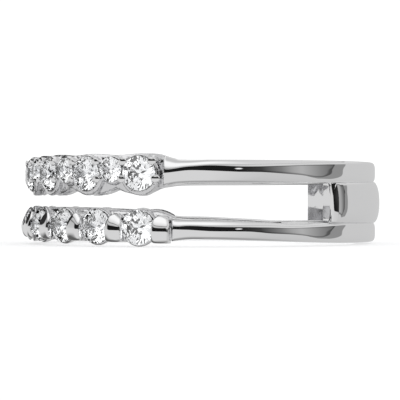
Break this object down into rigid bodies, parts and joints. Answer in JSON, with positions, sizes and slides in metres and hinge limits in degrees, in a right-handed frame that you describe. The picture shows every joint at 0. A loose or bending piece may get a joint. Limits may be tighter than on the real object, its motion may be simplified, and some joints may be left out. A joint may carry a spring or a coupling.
{
  "type": "double ring",
  "caption": "Finger ring of two slim white-metal bands joined at the back by a domed bridge, with round cut stones across the open front.",
  "frame": {"origin": "centre of the finger hole, halfway between the two bands", "axes": "+Z along the finger axis and up as the ring lies on its side; the stones face -X and the bridge faces +X"},
  "size_m": [0.0204, 0.02, 0.0049],
  "materials": {
    "polished_metal": "mirror-polished white metal, rhodium bright",
    "cut_stone": "clear, colourless, facet-cut and polished"
  },
  "bodies": {
    "root": {"ring_metal": "polished_metal", "upper_large_stone_1": "cut_stone", "upper_large_stone_2": "cut_stone", "upper_large_stone_3": "cut_stone", "upper_large_stone_4": "cut_stone", "upper_large_stone_5": "cut_stone", "upper_large_stone_6": "cut_stone", "upper_large_stone_7": "cut_stone", "upper_large_stone_8": "cut_stone", "upper_small_stone_1": "cut_stone", "upper_small_stone_2": "cut_stone", "upper_small_stone_3": "cut_stone", "upper_small_stone_4": "cut_stone", "upper_small_stone_5": "cut_stone", "upper_small_stone_6": "cut_stone", "upper_small_stone_7": "cut_stone", "lower_stone_1": "cut_stone", "lower_stone_2": "cut_stone", "lower_stone_3": "cut_stone", "lower_stone_4": "cut_stone", "lower_stone_5": "cut_stone", "lower_stone_6": "cut_stone", "lower_stone_7": "cut_stone", "lower_stone_8": "cut_stone", "lower_stone_9": "cut_stone", "lower_stone_10": "cut_stone"}
  },
  "joints": []
}
